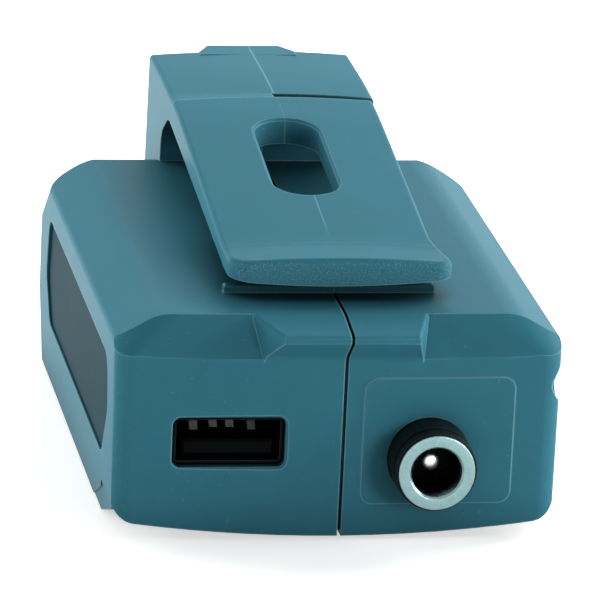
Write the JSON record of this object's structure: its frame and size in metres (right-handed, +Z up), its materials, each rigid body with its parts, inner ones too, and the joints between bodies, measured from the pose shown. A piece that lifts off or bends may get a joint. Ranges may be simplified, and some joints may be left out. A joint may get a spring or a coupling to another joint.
{
  "type": "battery adapter",
  "caption": "Slide-on adapter for a cordless tool battery, with a USB outlet, a round DC outlet, a sprung belt clip and a two-part housing.",
  "frame": {"origin": "middle of the bounding box, on the plane of the bottoms of the side skirts", "axes": "+Z up, -Y out of the face with the two outlets, +Y towards the open end that takes the battery, +X towards the side of the round outlet"},
  "size_m": [0.054, 0.0912, 0.0385],
  "materials": {
    "housing": "moulded, fine satin",
    "label": "satin film, bare",
    "screw_steel": "zinc plated",
    "usb_steel": "plated sheet",
    "black_plastic": "moulded",
    "contact_metal": "plated",
    "jack_plastic": "moulded, semi gloss",
    "jack_metal": "nickel plated, turned",
    "lead_sleeve": "insulated wire",
    "board": "solder mask",
    "ferrite": "matt",
    "copper": "enamelled wire",
    "capacitor_can": "bare can",
    "fuse_glass": "ceramic with metal caps",
    "terminal_plastic": "moulded"
  },
  "bodies": {
    "housing": {"left_housing": "housing", "right_housing": "housing", "side_label": "label", "housing_screws": "screw_steel", "usb_shell": "usb_steel", "usb_tongue": "black_plastic", "usb_contacts": "contact_metal", "jack_body": "jack_plastic", "jack_sleeve": "jack_metal", "jack_pin": "jack_metal", "jack_nut": "screw_steel", "jack_washer": "screw_steel", "jack_tags": "contact_metal", "jack_leads": "lead_sleeve", "circuit_board": "board", "board_screws": "screw_steel", "inductor_core": "ferrite", "inductor_winding": "copper", "capacitors": "capacitor_can", "converter_chip": "black_plastic", "rectifier_diode": "black_plastic", "fuse": "fuse_glass", "terminal_block": "terminal_plastic", "terminal_blades": "contact_metal"},
    "clip_arm": {"belt_clip": "housing"}
  },
  "joints": [
    {"name": "clip_flex", "type": "hinge", "parent": "housing", "child": "clip_arm", "pos_m": [0, 0.0207, 0.0385], "axis": [-1, 0, 0], "range_deg": [0, 6], "stiffness_Nm_per_rad": 2}
  ]
}
